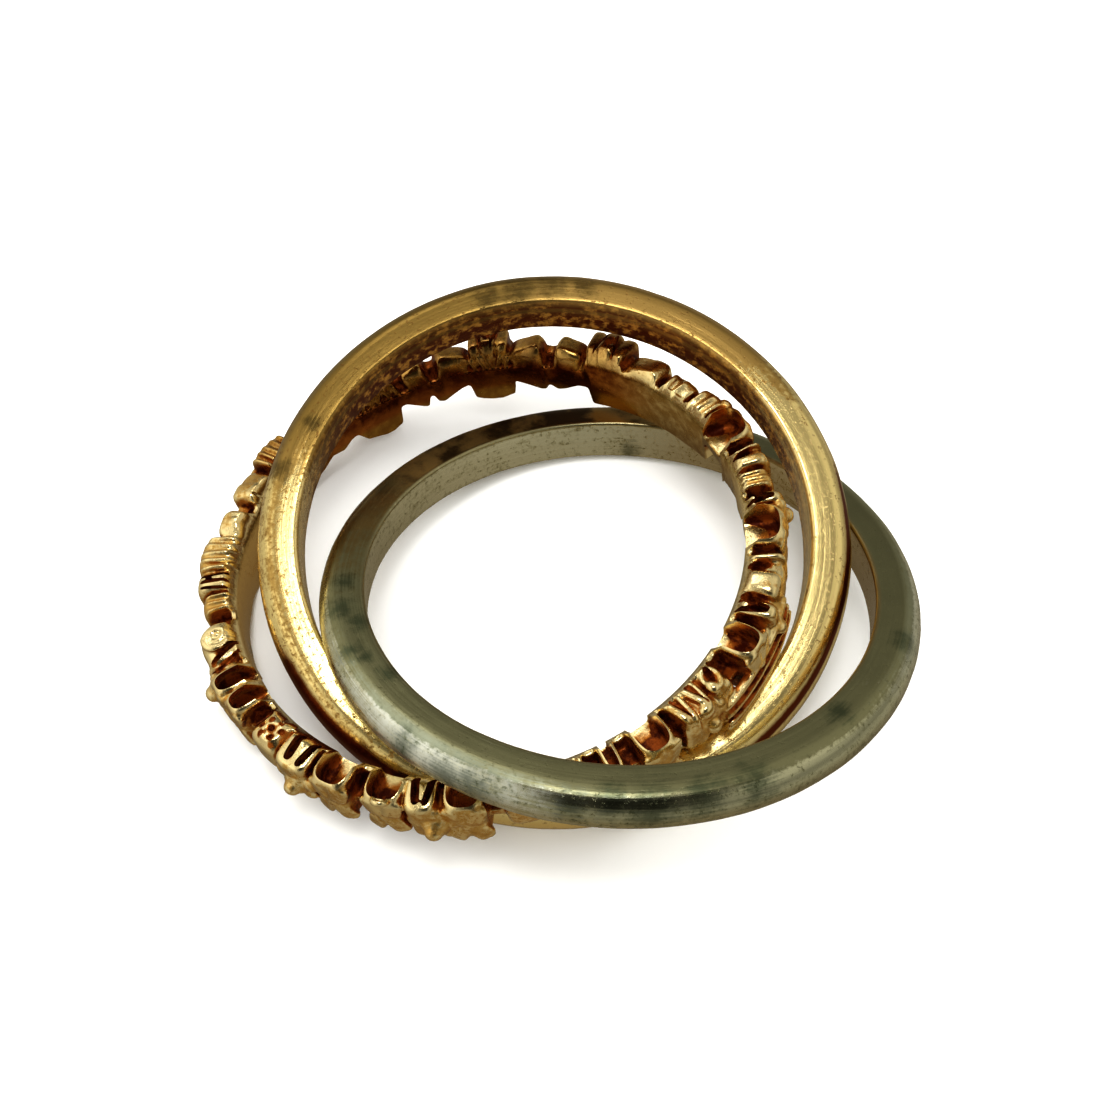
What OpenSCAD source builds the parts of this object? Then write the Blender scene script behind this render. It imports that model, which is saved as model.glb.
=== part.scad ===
// Triple band ring: three closed bands, each linked through the other two,
// lying fanned on the surface. Millimetres, +Z up, the surface at Z = 0,
// and the origin under the middle of the three bands.

/* [Plain gold band] */
// Finger opening across
gold_bore_d = 17.3; // [17.1:0.05:17.4]
// Metal from the finger opening to the crown of the dome
gold_wall = 1.5; // [1.2:0.05:1.6]
// Width along the finger
gold_width = 1.8; // [1.4:0.05:1.9]
// Height of the domed outside over the two edge faces
gold_dome = 0.6; // [0.2:0.05:0.7]

/* [Plain silver band] */
// Finger opening across
silver_bore_d = 16.9; // [16.7:0.05:17]
// Metal from the finger opening to the crown of the dome
silver_wall = 1.55; // [1.2:0.05:1.6]
// Width along the finger
silver_width = 1.55; // [1.2:0.05:1.6]
// Height of the domed outside over the two edge faces
silver_dome = 0.55; // [0.2:0.05:0.6]

/* [Wreath band] */
// Finger opening across
wreath_bore_d = 17.5; // [17.4:0.05:17.6]
// Metal from the finger opening to the outside of the petals
wreath_wall = 1.4; // [1.2:0.05:1.45]
// Height of a flower along the finger, petal tip to petal tip
flower_h = 2.2; // [1.8:0.05:2.3]
// Height of a leaf along the finger, tip to tip
leaf_h = 1.6; // [1.2:0.05:1.7]
// How far the bead in the middle of a flower stands out
bead_rise = 0.28; // [0.1:0.02:0.32]

/* [Hidden] */

// How each band lies: [x, y] of its middle, lean from level, compass angle of the lean
gold_lie = [0.19, 0.97, 14.2, -87.1];
silver_lie = [2.34, -1.10, 13.3, 86.9];
wreath_lie = [-2.04, 0.42, 8.7, 176.7];
wreath_rest = 2.602;      // height of the wreath band's middle over the surface

inner_round = 0.12;       // rounding of a plain band's inner corners
gap_edge = 0.3;           // half height of the wreath in a gap between petals and leaves
rim_bevel = 0.1;          // bevel along the outer rim
bore_bevel = 0.06;        // bevel at the mouth of the finger opening
wall_h = 0.78;            // half height of the smooth inner wall where a cell opens over it
wall_t = 0.27;            // metal of that inner wall
cell_wall = 0.17;         // metal between a cell and the outside
web = 0.12;               // half height of the metal between an upper and a lower cell
hollow = 0.16;            // depth of the dimple in the finger opening behind a flower
petal_rise = 0.13;        // how far the petals stand out from the grooves between them
leaf_rise = 0.14;         // how far a leaf swells between its ends
patch_h = 1.15;           // reach below the middle of the plain plate let in behind the flowers
patch = [12, 63];         // where that plate starts and ends, in degrees
patch_slope = 8;          // degrees over which its lower edge runs in at the start

// Flowers round the band, with the small unevenness of hand work.
// Columns: angle of the flower, fullness of the leaf pair that follows it
flower = [
    [ -2, 1.00], [ 26, 0.95], [ 61, 1.05], [ 91, 1.00], [120, 1.10], [151, 1.15],
    [183, 1.00], [211, 1.05], [240, 1.05], [268, 1.00], [304, 0.95], [331, 1.00]
];

// Stations across a flower, in degrees from its middle.
// Columns: angle, edge height as a share, depth of the cell, outside as a share of the wall
flower_station = [
    [-5.5, 0.00, 0.00, 0.62],
    [-4.9, 0.80, 0.00, 0.82],
    [-4.1, 0.93, 0.00, 0.92],
    [-3.3, 0.98, 0.90, 0.97],
    [-1.5, 1.00, 1.00, 1.00],
    [ 0.0, 1.00, 1.00, 1.00],
    [ 1.5, 1.00, 1.00, 1.00],
    [ 3.3, 0.98, 0.90, 0.97],
    [ 4.1, 0.93, 0.00, 0.92],
    [ 4.9, 0.80, 0.00, 0.82],
    [ 5.5, 0.00, 0.00, 0.62]
];

// Stations along the leaf pair between two flowers.
// Columns: share of the way, edge height as a share, depth of the cell, outside, swelling
leaf_station = [
    [0.04, 0.55, 0.00, 0.84, 0.0],
    [0.12, 0.70, 0.60, 0.90, 0.4],
    [0.25, 0.82, 0.75, 0.95, 1.0],
    [0.37, 0.94, 0.60, 0.95, 0.8],
    [0.44, 1.00, 0.00, 0.90, 0.3],
    [0.50, 0.00, 0.00, 0.68, 0.0],
    [0.56, 1.00, 0.00, 0.90, 0.3],
    [0.63, 0.94, 0.60, 0.95, 0.8],
    [0.75, 0.82, 0.75, 0.95, 1.0],
    [0.88, 0.70, 0.60, 0.90, 0.4],
    [0.96, 0.55, 0.00, 0.84, 0.0]
];

bore_r = wreath_bore_d / 2;
turns = len(flower);
reach = flower_station[len(flower_station) - 1][0];
mid_r = bore_r + wreath_wall;

// A station: [angle, edge half height, cell depth share, outer radius, swelling, angle off a flower]
function leaf_span(i) =
    (i == turns - 1 ? flower[0][0] + 360 : flower[i + 1][0]) - flower[i][0] - 2 * reach;
function edge_at(share, h) = gap_edge + share * (h / 2 - gap_edge);
function stations(i) = concat(
    [for (s = flower_station)
        [flower[i][0] + s[0], edge_at(s[1], flower_h), s[2], bore_r + s[3] * wreath_wall, 0, s[0]]],
    [for (s = leaf_station)
        [flower[i][0] + reach + s[0] * leaf_span(i), edge_at(s[1], leaf_h * flower[i][1]), s[2],
         bore_r + s[3] * wreath_wall, s[4] * flower[i][1], 2 * reach]]);
columns = [for (i = [0:turns - 1]) each stations(i)];

// Relief on the outside: a bead and five petals on a flower, a swelling on each leaf
level = [0.75, 0.4, 0, -0.4, -0.75];
function relief(c, v) =
    let (x = c[5] * mid_r * PI / 180, z = v * c[1], r = norm([x, z]))
    c[5] > reach ? leaf_rise * c[4] * (v == 0 ? 0.1 : 1 - pow(v, 4))
        : r < 0.2 ? bead_rise
        : petal_rise * cos(5 * atan2(x, z)) * (r < 1 ? 1 : 0.3);

// Half of a station's outline, from the finger opening over the edge to the outside, as [r, z]
function half_outline(c, rim) =
    let (edge = c[1], outer = c[3], cut = c[2] > 0,
         floor_z = edge - c[2] * (edge - web), cell_out = outer - cell_wall)
    [[bore_r, rim - bore_bevel],
     [bore_r + bore_bevel, rim],
     [bore_r + wall_t - 0.04, rim],
     [bore_r + wall_t, cut ? floor_z : min(rim, edge)],
     [cell_out - 0.04, cut ? floor_z : edge],
     [cell_out, edge],
     [outer - rim_bevel, edge],
     [outer, edge - rim_bevel]];
function lower_rim(c) = c[0] > patch[0] && c[0] < patch[1]
    ? max(min(c[1], wall_h), min(1, (c[0] - patch[0]) / patch_slope) * patch_h)
    : min(c[1], wall_h);
function outline(c) =
    let (up = half_outline(c, min(c[1], wall_h)), down = half_outline(c, lower_rim(c)), n = len(up),
         dimple = hollow * max(0, 1 - pow(c[5] / 3.5, 2)))
    concat(
        up,
        [for (v = level) [c[3] + relief(c, v), v * (c[1] - rim_bevel)]],
        [for (k = [n - 1:-1:0]) [down[k][0], -down[k][1]]],
        [[bore_r, -0.2], [bore_r + dimple, 0], [bore_r, 0.2]]);

// Radius of the dome's arc
function dome_r(width, dome) = (pow(width / 2, 2) + pow(dome, 2)) / (2 * dome);

// Height of a plain band's middle when one edge of its dome touches the surface
function rest_height(bore_d, wall, width, dome, lean) =
    (bore_d / 2 + wall - dome) * sin(lean) + width / 2 * cos(lean);

module lie(at, height) {
    translate([at[0], at[1], height])
        rotate([0, 0, at[3]]) rotate([0, at[2], 0]) rotate([0, 0, -at[3]])
            children();
}

// Section of a plain band: flat inside with rounded corners, domed outside
module plain_section(bore_d, wall, width, dome) {
    r = dome_r(width, dome);
    translate([bore_d / 2, 0]) intersection() {
        union() {
            translate([inner_round, -width / 2]) square([wall, width]);
            translate([0, inner_round - width / 2])
                square([wall, width - 2 * inner_round]);
            for (side = [-1, 1])
                translate([inner_round, side * (width / 2 - inner_round)])
                    circle(r = inner_round, $fn = 48);
        }
        union() {
            translate([-1, -width]) square([wall - dome + 1, 2 * width]);
            translate([wall - r, 0]) circle(r = r, $fn = 96);
        }
    }
}

module plain_band(bore_d, wall, width, dome) {
    rotate_extrude($fn = 360) plain_section(bore_d, wall, width, dome);
}

module gold_band() {
    color([0.78, 0.62, 0.30])
        lie(gold_lie, rest_height(gold_bore_d, gold_wall, gold_width, gold_dome, gold_lie[2]))
            plain_band(gold_bore_d, gold_wall, gold_width, gold_dome);
}

module silver_band() {
    color([0.58, 0.58, 0.52])
        lie(silver_lie,
            rest_height(silver_bore_d, silver_wall, silver_width, silver_dome, silver_lie[2]))
            plain_band(silver_bore_d, silver_wall, silver_width, silver_dome);
}

// One casting: the outline of each station, joined all the way round
module wreath_band() {
    rings = [for (c = columns) outline(c)];
    n = len(rings);
    m = len(rings[0]);
    points = [for (i = [0:n - 1]) for (p = rings[i])
        [p[0] * cos(columns[i][0]), p[0] * sin(columns[i][0]), p[1]]];
    faces = [for (i = [0:n - 1]) for (j = [0:m - 1])
        let (a = i * m + j, b = i * m + (j + 1) % m,
             c = ((i + 1) % n) * m + (j + 1) % m, d = ((i + 1) % n) * m + j)
        each [[a, c, b], [a, d, c]]];
    color([0.80, 0.62, 0.28])
        lie(wreath_lie, wreath_rest) polyhedron(points, faces, convexity = 10);
}

gold_band();
silver_band();
wreath_band();
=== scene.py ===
# Triple band ring: three closed bands, each linked through the other two, lying fanned
# on a pale surface. A plain gold-toned band, a plain tarnished silver-toned band, and a
# cast gold-toned band of flowers and leaves. Metres, in the frame of the solids.
import math

import bpy
import bmesh
import numpy as np
from mathutils import Matrix, Vector


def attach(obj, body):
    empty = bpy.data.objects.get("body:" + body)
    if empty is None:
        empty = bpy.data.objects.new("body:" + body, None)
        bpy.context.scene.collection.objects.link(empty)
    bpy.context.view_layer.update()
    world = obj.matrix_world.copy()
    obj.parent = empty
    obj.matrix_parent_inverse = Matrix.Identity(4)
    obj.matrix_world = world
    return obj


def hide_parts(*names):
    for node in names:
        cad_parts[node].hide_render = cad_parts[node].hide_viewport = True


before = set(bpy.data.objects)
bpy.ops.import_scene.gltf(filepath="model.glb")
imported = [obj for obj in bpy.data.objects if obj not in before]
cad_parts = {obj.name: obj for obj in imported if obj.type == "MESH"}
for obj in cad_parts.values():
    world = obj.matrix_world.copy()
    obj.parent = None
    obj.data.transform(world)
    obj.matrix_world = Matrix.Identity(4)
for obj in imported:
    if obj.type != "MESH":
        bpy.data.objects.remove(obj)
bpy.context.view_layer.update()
MM = 0.001

# Surface, light and camera
# The ring lies on a plain pale surface, lit by a wide soft glow that the metals don't show.
# They show two smaller lamps and a dim room: darker low down, overhead and behind the viewer.
LOOK_AT = Vector((0.361, 2.203, 0.0)) * MM
VIEW_HEIGHT_DEG = 53.98
VIEW_DISTANCE = 53.5 * MM
LENS_MM = 47.0
FLOOR_HALF = 0.5
FLOOR_COLOUR, FLOOR_ROUGHNESS = (0.88, 0.88, 0.87), 0.8

# The room's brightness by height over the horizon (degrees): toward the viewer, behind, left and right
ROOM_FRONT = [(-90, 0.26), (-60, 0.26), (-35, 0.27), (-12, 0.30), (14, 0.24), (30, 0.05), (70, 0.03),
              (80, 0.38), (90, 0.9)]
ROOM_BACK = [(-90, 0.16), (-60, 0.18), (-30, 0.26), (0, 0.32), (14, 0.22), (22, 0.04), (32, 0.26),
             (48, 0.46), (57, 0.46), (70, 0.24), (80, 0.36), (90, 0.9)]
ROOM_LEFT = [(-90, 0.14), (-60, 0.16), (-35, 0.30), (-12, 0.42), (6, 0.45), (20, 0.58), (36, 0.80),
             (52, 0.92), (70, 0.60), (80, 0.60), (90, 0.9)]
ROOM_RIGHT = [(-90, 0.14), (-60, 0.16), (-35, 0.28), (-12, 0.36), (6, 0.24), (20, 0.38), (36, 0.52),
              (52, 0.50), (70, 0.34), (80, 0.45), (90, 0.9)]
WARM_UNDER_DEG = -8
# Columns: name, width, place, power, whether the metals show it
LAMPS = [("overhead", 0.11, (-0.010, -0.012, 0.30), 0.13, True),
         ("window", 0.10, (-0.074, 0.180, 0.228), 0.035, True),
         ("surround", 2.00, (0, 0, 0.50), 12.5, False)]


def object_of(mesh):
    piece = bpy.data.objects.new(mesh.name, mesh)
    bpy.context.scene.collection.objects.link(piece)
    return piece


def mesh_of(name, points, edges, faces):
    mesh = bpy.data.meshes.new(name)
    mesh.from_pydata(points, edges, faces)
    return mesh


def add_node(tree, kind, inputs, output=0, **settings):
    """A node with its settings, and its inputs linked or set. Gives back one output, or all for None."""
    made = tree.nodes.new(kind)
    for name, value in settings.items():
        setattr(made, name, value)
    for name, value in inputs.items():
        for part in value if isinstance(value, list) else [value]:
            if isinstance(part, bpy.types.NodeSocket):
                tree.links.new(part, made.inputs[name])
            else:
                made.inputs[name].default_value = (*part, 1) if made.inputs[name].type == "RGBA" else part
    return made.outputs if output is None else made.outputs[output]


def tree_of(*values):
    """The node tree in which the first socket among the values stands."""
    return next(value.id_data for value in values if isinstance(value, bpy.types.NodeSocket))


def step_between(value, low, high):
    """0 at the first bound, 1 at the second, soft between them."""
    return add_node(tree_of(value), "ShaderNodeMapRange", {"Value": value, "From Min": low, "From Max": high},
                    interpolation_type="SMOOTHSTEP")


def blend(share, first, second):
    return add_node(tree_of(share), "ShaderNodeMix", {0: share, 6: first, 7: second}, 2, data_type="RGBA")


def ramp(value, steps, kind="LINEAR"):
    """Colours or levels at given values between 0 and 1."""
    made = tree_of(value).nodes.new("ShaderNodeValToRGB")
    tree_of(value).links.new(value, made.inputs[0])
    made.color_ramp.interpolation = kind
    points = made.color_ramp.elements
    while len(points) < len(steps):
        points.new(0.5)
    for point, (at, colour) in zip(points, steps):
        point.position = at
        point.color = (*colour, 1) if isinstance(colour, tuple) else (colour, colour, colour, 1)
    return made.outputs[0]


def build_camera():
    data = bpy.data.cameras.new("camera")
    data.lens = LENS_MM
    data.clip_start, data.clip_end = 1 * MM, 2.0
    camera = object_of(data)
    up = math.radians(VIEW_HEIGHT_DEG)
    toward = Vector((0, -math.cos(up), math.sin(up)))
    camera.location = LOOK_AT + toward * VIEW_DISTANCE
    camera.rotation_euler = (-toward).to_track_quat("-Z", "Y").to_euler()
    bpy.context.scene.camera = camera


def build_floor():
    corners = [(x * FLOOR_HALF, y * FLOOR_HALF, 0) for x, y in ((-1, -1), (1, -1), (1, 1), (-1, 1))]
    floor = object_of(mesh_of("floor", corners, [], [(0, 1, 2, 3)]))
    material = bpy.data.materials.new("pale_surface")
    material.use_nodes = True
    shader = material.node_tree.nodes["Principled BSDF"]
    shader.inputs["Base Color"].default_value = (*FLOOR_COLOUR, 1)
    shader.inputs["Roughness"].default_value = FLOOR_ROUGHNESS
    floor.data.materials.append(material)
    floor.visible_glossy = False


def build_room():
    """Four ramps of brightness by height, blended by direction, warmer under the horizon."""
    world = bpy.data.worlds.new("room")
    world.use_nodes = True
    bpy.context.scene.world = world
    tree = world.node_tree
    direction = add_node(tree, "ShaderNodeTexCoord", {}, "Generated")
    x, y, z = add_node(tree, "ShaderNodeSeparateXYZ", {0: direction}, None)
    height = add_node(tree, "ShaderNodeMath", {0: z}, operation="ARCSINE")
    share = add_node(tree, "ShaderNodeMapRange", {"Value": height, "From Min": -math.pi / 2, "From Max": math.pi / 2})
    levels = []
    for steps in (ROOM_FRONT, ROOM_BACK, ROOM_LEFT, ROOM_RIGHT):
        colours = []
        for degrees, level in steps:
            warm = min(max((WARM_UNDER_DEG - degrees) / 60, 0), 1)
            colour = (level, level * (0.98 - 0.14 * warm), level * (0.88 - 0.3 * warm))
            colours.append((degrees / 180 + 0.5, colour))
        levels.append(ramp(share, colours, "EASE"))
    front, back, left, right = levels
    colour = blend(step_between(y, -0.35, 0.35), front, back)
    colour = blend(step_between(x, -0.25, -0.75), colour, left)
    colour = blend(step_between(x, 0.25, 0.75), colour, right)
    tree.links.new(colour, tree.nodes["Background"].inputs["Color"])


def build_lamps():
    for name, across, at, power, seen_in_metal in LAMPS:
        data = bpy.data.lights.new(name, "AREA")
        data.shape, data.size, data.energy = "DISK", across, power
        lamp = object_of(data)
        lamp.location = at
        lamp.rotation_euler = Vector(at).to_track_quat("Z", "Y").to_euler()
        lamp.visible_glossy = seen_in_metal


bpy.context.scene.view_settings.view_transform = "Standard"
bpy.context.scene.view_settings.look = "High Contrast"
build_camera()
build_floor()
build_room()
build_lamps()

# Plain gold band
# One of the two plain bands: gold-toned metal, flat inside and domed outside, with worn soft
# corners. It is polished on its edges, with a painted highlight on the right, and holds painted shade: darker on the
# back, and maroon in the finger opening, underneath and low on the outside.
GOLD_BORE_R = 8.65
GOLD_SIZES = dict(bore=GOLD_BORE_R, wall=1.5, width=1.8, dome=0.6, corner=0.16, inner_corner=0.17)
GOLD_GRAIN = 0.035 * MM
BAND_STEPS = 360
BAND_UNEVENNESS = 0.05
ACROSS_STREAKS, ALONG_STREAKS = 9.0, 0.22


def lying_place(middle, lean, compass):
    """A band's place: its middle in millimetres, and its lean in degrees toward a compass direction."""
    turn = Matrix.Rotation(math.radians(compass), 4, "Z")
    lean = turn @ Matrix.Rotation(math.radians(lean), 4, "Y") @ turn.inverted()
    return Matrix.Translation(Vector(middle) * MM) @ lean


def band_section(bore, wall, width, dome, corner, inner_corner):
    """Half-round section with softened corners, as points (radius, height), going round once."""
    arc_r = ((width / 2) ** 2 + dome ** 2) / (2 * dome)
    side = math.asin(width / 2 / arc_r)
    shoulder = bore + wall - dome
    half = []
    for k in range(7):
        a = math.pi - k * math.pi / 12
        half.append((bore + inner_corner + inner_corner * math.cos(a),
                     width / 2 - inner_corner + inner_corner * math.sin(a)))
    half += [(bore + inner_corner + t * (shoulder - corner - bore - inner_corner), width / 2)
             for t in (0.25, 0.5, 0.75)]
    start = Vector((shoulder - corner, width / 2))
    turn = side * 0.8
    end = Vector((bore + wall - arc_r + arc_r * math.cos(turn), arc_r * math.sin(turn)))
    knee = Vector((shoulder + 0.02, width / 2 - 0.01))
    half += [tuple(start * (1 - t) ** 2 + knee * 2 * t * (1 - t) + end * t ** 2) for t in (0, 0.25, 0.5, 0.75)]
    half += [(bore + wall - arc_r + arc_r * math.cos(turn * t), arc_r * math.sin(turn * t))
             for t in (1, 0.8, 0.6, 0.4, 0.2)]
    return half + [(bore + wall, 0)] + [(r, -z) for r, z in reversed(half)]


def new_tree(kind, name, inputs, outputs):
    """A node tree with named sockets, and the sockets that bring in its inputs."""
    tree = bpy.data.node_groups.new(name, kind)
    for way, sockets in (("INPUT", inputs), ("OUTPUT", outputs)):
        for label, holds in sockets.items():
            tree.interface.new_socket(label, in_out=way, socket_type="NodeSocket" + holds)
    return tree, add_node(tree, "NodeGroupInput", {}, None)


def maths(operation, first, *others):
    """One operation over numbers and sockets, taken from the left."""
    for other in others or (0.0,):
        first = add_node(tree_of(first, other), "ShaderNodeMath", {0: first, 1: other}, operation=operation)
    return first


def plus(*values):
    return maths("ADD", *values)


def minus(*values):
    return maths("SUBTRACT", *values)


def times(*values):
    return maths("MULTIPLY", *values)


def largest(*values):
    return maths("MAXIMUM", *values)


def weighted(base, *shares):
    """A value raised by shares, each with its weight."""
    return plus(base, *(times(share, weight) for share, weight in shares))


def end_in_metal(tree, body, metal):
    real = add_node(tree, "GeometryNodeRealizeInstances", {0: body})
    add_node(tree, "NodeGroupOutput",
             {0: add_node(tree, "GeometryNodeSetMaterial", {"Geometry": real, "Material": metal})}, None)


def sweep_tree():
    """Carries a band's section round a circle, with the slight unevenness of hand finishing."""
    tree, given = new_tree("GeometryNodeTree", "swept_band", {
        "Geometry": "Geometry", "Radius": "Float", "Unevenness": "Float", "Steps": "Int", "Metal": "Material"},
        {"Geometry": "Geometry"})
    section = add_node(tree, "GeometryNodeMeshToCurve", {"Mesh": given["Geometry"]})
    path = add_node(tree, "GeometryNodeCurvePrimitiveCircle",
                    {"Radius": given["Radius"], "Resolution": given["Steps"]})
    upright = add_node(tree, "GeometryNodeSetCurveNormal", {"Curve": path}, mode="Z_UP")
    swept = add_node(tree, "GeometryNodeCurveToMesh", {"Curve": upright, "Profile Curve": section})
    noise = add_node(tree, "ShaderNodeTexNoise", {"Scale": 0.45, "Detail": 2.0})
    push = times(minus(noise, 0.5), given["Unevenness"])
    normal = add_node(tree, "GeometryNodeInputNormal", {})
    out = add_node(tree, "ShaderNodeVectorMath", {0: normal, "Scale": push}, operation="SCALE")
    moved = add_node(tree, "GeometryNodeSetPosition", {"Geometry": swept, "Offset": out})
    end_in_metal(tree, add_node(tree, "GeometryNodeSetShadeSmooth", {"Geometry": moved}), given["Metal"])
    return tree


def run_tree(piece, tree, values):
    """A modifier that runs a tree on the piece, with its named inputs."""
    modifier = piece.modifiers.new(tree.name, "NODES")
    modifier.node_group = tree
    for item in tree.interface.items_tree:
        if item.in_out == "INPUT" and item.name in values:
            modifier[item.identifier] = values[item.name]


def plain_mesh(piece, name):
    """The piece's mesh with its modifiers applied. The piece itself is taken away."""
    mesh = bpy.data.meshes.new_from_object(piece.evaluated_get(bpy.context.evaluated_depsgraph_get()))
    mesh.name = name
    bpy.data.objects.remove(piece)
    return mesh


def plain_band(name, sizes, metal, place):
    """A plain band in its place, in metres. Its sizes are those of the section."""
    middle_r = sizes["bore"] + sizes["wall"] / 2
    points = [(r - middle_r, z, 0) for r, z in band_section(**sizes)]
    edges = [(i, (i + 1) % len(points)) for i in range(len(points))]
    piece = object_of(mesh_of(name + "_section", points, edges, []))
    run_tree(piece, SWEEP, {"Radius": middle_r, "Unevenness": BAND_UNEVENNESS, "Steps": BAND_STEPS, "Metal": metal})
    mesh = plain_mesh(piece, name)
    body = bmesh.new()
    body.from_mesh(mesh)
    if body.calc_volume(signed=True) < 0:
        bmesh.ops.reverse_faces(body, faces=body.faces)
    body.to_mesh(mesh)
    body.free()
    mesh.transform(place @ Matrix.Scale(MM, 4))
    return object_of(mesh)


def noise_at(point, scale, detail, roughness=0.5):
    return add_node(tree_of(point), "ShaderNodeTexNoise",
                    {"Vector": point, "Scale": scale, "Detail": detail, "Roughness": roughness})


def around_band_group():
    """Where a point is on a band: its height and radius, and a place for streaks that run round it."""
    tree, given = new_tree("ShaderNodeTree", "around_band", {"Point": "Vector"},
                           {"Point": "Vector", "Height": "Float", "Radius": "Float", "Streak": "Vector"})
    x, y, z = add_node(tree, "ShaderNodeSeparateXYZ", {0: given["Point"]}, None)
    radius = maths("SQRT", plus(times(x, x), times(y, y)))
    streak = add_node(tree, "ShaderNodeCombineXYZ", {"X": times(x, ALONG_STREAKS), "Y": times(y, ALONG_STREAKS),
                                                     "Z": times(minus(radius, z), ACROSS_STREAKS)})
    add_node(tree, "NodeGroupOutput",
             {"Point": given["Point"], "Height": z, "Radius": radius, "Streak": streak}, None)
    return tree


def worn_metal_group():
    """Polished metal that has gone dull in clouds and streaks, with grime in its pits. The dullness and grime shares it
    is given also lay on painted highlights and painted shade.
    """
    tree, given = new_tree("ShaderNodeTree", "worn_metal", {
        "Point": "Vector", "Streak": "Vector", "Polished": "Color", "Dull": "Color", "Grime": "Color",
        "Dullness": "Float", "Grime share": "Float", "Pit share": "Float"},
        {"Colour": "Color", "Roughness": "Float", "Height": "Float"})
    clouds = noise_at(given["Point"], 0.9, 6.0, 0.65)
    streaks = noise_at(given["Streak"], 1.0, 3.0)
    grains = noise_at(given["Point"], 6.5, 4.0, 0.7)
    uneven = weighted(-0.5, (clouds, 0.33), (streaks, 0.22), (grains, 0.45))
    dull = step_between(plus(uneven, given["Dullness"]), 0.42, 0.58)
    pits = times(step_between(grains, 0.57, 0.66), given["Pit share"])
    dirt_and_shade = largest(step_between(plus(uneven, given["Grime share"]), 0.30, 0.75), pits)
    metal = blend(dull, given["Polished"], given["Dull"])
    add_node(tree, "NodeGroupOutput", {
        "Colour": blend(dirt_and_shade, metal, given["Grime"]),
        "Roughness": weighted(0.20, (dull, 0.12), (dirt_and_shade, 0.18)),
        "Height": weighted(0.0, (streaks, 0.35), (clouds, 0.4), (pits, -0.6))}, None)
    return tree


def spot_group():
    """A soft ragged spot round a place on a band."""
    tree, given = new_tree("ShaderNodeTree", "spot", {
        "Point": "Vector", "Streak": "Vector", "Place": "Vector", "Reach": "Float"}, {"Share": "Float"})
    away = add_node(tree, "ShaderNodeVectorMath", {0: given["Point"], 1: given["Place"]}, 1, operation="DISTANCE")
    ragged = weighted(noise_at(given["Point"], 2.4, 5.0, 0.7), (noise_at(given["Streak"], 1.6, 3.0), 0.8))
    near = plus(maths("DIVIDE", away, given["Reach"]), times(minus(ragged, 0.9), 2.0))
    add_node(tree, "NodeGroupOutput", {"Share": step_between(near, 1.3, 0.0)}, None)
    return tree


def where_on_band(tree, place):
    """Object coordinates turned and centred on the band that lies in a place, in millimetres."""
    point = add_node(tree, "ShaderNodeMapping", {
        "Vector": add_node(tree, "ShaderNodeTexCoord", {}, "Object"), "Location": place.to_translation(),
        "Rotation": place.to_euler(), "Scale": (MM, MM, MM)}, vector_type="TEXTURE")
    return add_node(tree, "ShaderNodeGroup", {"Point": point}, None, node_tree=AROUND_BAND)


def stretch(where, degrees, far, near):
    """1 within `near` degrees round the band from a place on it, 0 beyond `far`, soft between."""
    a = math.radians(degrees)
    along = add_node(tree_of(where["Point"]), "ShaderNodeVectorMath",
                     {0: where["Point"], 1: (math.cos(a), math.sin(a), 0)}, 1, operation="DOT_PRODUCT")
    return step_between(maths("DEGREES", maths("ARCCOSINE", maths("DIVIDE", along, where["Radius"]))), far, near)


def line_at(value, middle, wide, narrow):
    """1 on a line at the middle value, 0 beyond its wide half width."""
    return step_between(maths("ABSOLUTE", minus(value, middle)), wide, narrow)


def spots(where, rows, streak="Streak"):
    """The share of the strongest of some spots. Columns: degrees round, radius, height, reach."""
    shares = []
    for degrees, radius, height, reach in rows:
        a = math.radians(degrees)
        shares.append(add_node(tree_of(where["Point"]), "ShaderNodeGroup", {
            "Point": where["Point"], "Streak": where[streak], "Reach": reach,
            "Place": (radius * math.cos(a), radius * math.sin(a), height)}, node_tree=SPOT))
    return largest(0.0, *shares)


def worn_metal(where, values, streak="Streak"):
    return add_node(tree_of(where["Point"]), "ShaderNodeGroup",
                    {"Point": where["Point"], "Streak": where[streak], **values}, None, node_tree=WORN_METAL)


def tinted(colour, *tints):
    """A colour with others laid over it in turn. Columns: share, weight, tint."""
    for share, weight, tint in tints:
        colour = blend(times(share, weight), colour, tint)
    return colour


def new_metal(name, place):
    """A metal, its shader, and where each point is on the band that lies in this place."""
    material = bpy.data.materials.new(name)
    material.use_nodes = True
    shader = material.node_tree.nodes["Principled BSDF"]
    shader.inputs["Metallic"].default_value = 1.0
    shader.inputs["Specular IOR Level"].default_value = 0.12
    return material, shader, where_on_band(material.node_tree, place)


def finish_metal(shader, colour, rough, height, grain, grime_and_shade=None):
    """Links the shader. Where grime and painted shade lie it is that much less a metal."""
    tree = tree_of(colour)
    bump = add_node(tree, "ShaderNodeBump", {"Height": height, "Distance": grain, "Strength": 0.6})
    tree.links.new(colour, shader.inputs["Base Color"])
    tree.links.new(rough, shader.inputs["Roughness"])
    tree.links.new(bump, shader.inputs["Normal"])
    if grime_and_shade is not None:
        tree.links.new(minus(1.0, grime_and_shade), shader.inputs["Metallic"])


SWEEP = sweep_tree()
AROUND_BAND = around_band_group()
WORN_METAL = worn_metal_group()
SPOT = spot_group()
GOLD_PLACE = lying_place(middle=(0.19, 0.97, 3.2152), lean=14.2, compass=-87.1)

# Stains on the gold band. Columns: degrees round, radius, height, reach (millimetres)
GOLD_STAINS = [(98, 9.25, 0.9, 0.8), (91, 9.35, 0.9, 0.7), (106, 9.2, 0.9, 0.6), (84, 9.4, 0.9, 0.5),
               (168, 9.6, 0.9, 0.5), (156, 9.2, 0.9, 0.4)]
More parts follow.
